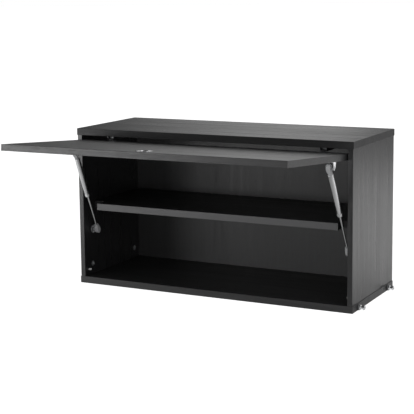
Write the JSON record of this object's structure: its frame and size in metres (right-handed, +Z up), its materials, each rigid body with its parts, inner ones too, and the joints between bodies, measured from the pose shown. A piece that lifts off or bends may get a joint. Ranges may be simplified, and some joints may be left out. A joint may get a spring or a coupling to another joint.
{
  "type": "lift up wall cabinet",
  "caption": "Wide low wall cabinet in dark stained wood, with a flap that lifts up on cup hinges and gas struts, a shelf inside, and hanging pegs on its ends.",
  "frame": {"origin": "centre of the cabinet's flat underside", "axes": "+X to the right seen from the front, +Y from the front to the wall, +Z up"},
  "size_m": [0.8132, 0.6565, 0.42],
  "materials": {
    "stained_wood": "near-black stained veneer, satin, with fine open grain",
    "bright_steel": "bright plated steel",
    "zinc_steel": "zinc plated, satin",
    "pull_metal": "spun metal, fine concentric turning marks",
    "dark_plastic": "moulded, dark grey",
    "grey_plastic": "moulded, mid grey, satin",
    "stop_plastic": "moulded, pale grey, slightly glossy"
  },
  "bodies": {
    "carcass": {"top_panel": "stained_wood", "bottom_panel": "stained_wood", "side_panel_left": "stained_wood", "side_panel_right": "stained_wood", "back_panel": "stained_wood", "shelf": "stained_wood", "hinge_arm_left": "bright_steel", "hinge_plate_left": "zinc_steel", "strut_anchor_disc_left": "dark_plastic", "flap_stop_left": "stop_plastic", "hanging_peg_left_front": "bright_steel", "peg_washer_left_front": "dark_plastic", "shelf_pin_left_front": "zinc_steel", "cam_lower_left_front": "zinc_steel", "cam_bolt_lower_left_front": "zinc_steel", "cam_upper_left_front": "zinc_steel", "cam_bolt_upper_left_front": "zinc_steel", "hanging_peg_left_rear": "bright_steel", "peg_washer_left_rear": "dark_plastic", "shelf_pin_left_rear": "zinc_steel", "cam_lower_left_rear": "zinc_steel", "cam_bolt_lower_left_rear": "zinc_steel", "cam_upper_left_rear": "zinc_steel", "cam_bolt_upper_left_rear": "zinc_steel", "hinge_arm_right": "bright_steel", "hinge_plate_right": "zinc_steel", "strut_anchor_disc_right": "dark_plastic", "flap_stop_right": "stop_plastic", "hanging_peg_right_front": "bright_steel", "peg_washer_right_front": "dark_plastic", "shelf_pin_right_front": "zinc_steel", "cam_lower_right_front": "zinc_steel", "cam_bolt_lower_right_front": "zinc_steel", "cam_upper_right_front": "zinc_steel", "cam_bolt_upper_right_front": "zinc_steel", "hanging_peg_right_rear": "bright_steel", "peg_washer_right_rear": "dark_plastic", "shelf_pin_right_rear": "zinc_steel", "cam_lower_right_rear": "zinc_steel", "cam_bolt_lower_right_rear": "zinc_steel", "cam_upper_right_rear": "zinc_steel", "cam_bolt_upper_right_rear": "zinc_steel"},
    "flap": {"flap_panel": "stained_wood", "flush_pull": "pull_metal", "hinge_cup_left": "bright_steel", "hinge_cup_right": "bright_steel", "hinge_pin_left": "zinc_steel", "hinge_pin_right": "zinc_steel", "strut_bracket_left": "bright_steel", "strut_bracket_right": "bright_steel"},
    "strut_tube_left": {"strut_tube_left": "bright_steel", "strut_upper_fitting_left": "grey_plastic"},
    "strut_rod_left": {"strut_rod_left": "bright_steel", "strut_lower_fitting_left": "grey_plastic", "strut_anchor_ball_left": "zinc_steel"},
    "strut_tube_right": {"strut_tube_right": "bright_steel", "strut_upper_fitting_right": "grey_plastic"},
    "strut_rod_right": {"strut_rod_right": "bright_steel", "strut_lower_fitting_right": "grey_plastic", "strut_anchor_ball_right": "zinc_steel"}
  },
  "joints": [
    {"name": "flap_lift", "type": "hinge", "parent": "carcass", "child": "flap", "pos_m": [0, -0.1435, 0.3835], "axis": [1, 0, 0], "range_deg": [0, 94.7]},
    {"name": "strut_swivel_left", "type": "hinge", "parent": "flap", "child": "strut_tube_left", "pos_m": [-0.3532, -0.21563, 0.36294], "axis": [1, -0.0072, 0.0046], "range_deg": [-117.32, 0]},
    {"name": "strut_rod_slide_left", "type": "slide", "parent": "strut_tube_left", "child": "strut_rod_left", "axis": [0.0336, -0.4436, 0.8956], "range_m": [0, 0.0749]},
    {"name": "strut_swivel_right", "type": "hinge", "parent": "flap", "child": "strut_tube_right", "pos_m": [0.3532, -0.21563, 0.36294], "axis": [1, 0.0072, -0.0046], "range_deg": [-117.32, 0]},
    {"name": "strut_rod_slide_right", "type": "slide", "parent": "strut_tube_right", "child": "strut_rod_right", "axis": [-0.0336, -0.4436, 0.8956], "range_m": [0, 0.0749]}
  ],
  "couplings": [
    {"joint": "strut_swivel_left", "follows": "flap_lift", "ratio": -1.2389},
    {"joint": "strut_rod_slide_left", "follows": "flap_lift", "m_per_rad": 0.045317},
    {"joint": "strut_swivel_right", "follows": "flap_lift", "ratio": -1.2389},
    {"joint": "strut_rod_slide_right", "follows": "flap_lift", "m_per_rad": 0.045317}
  ]
}
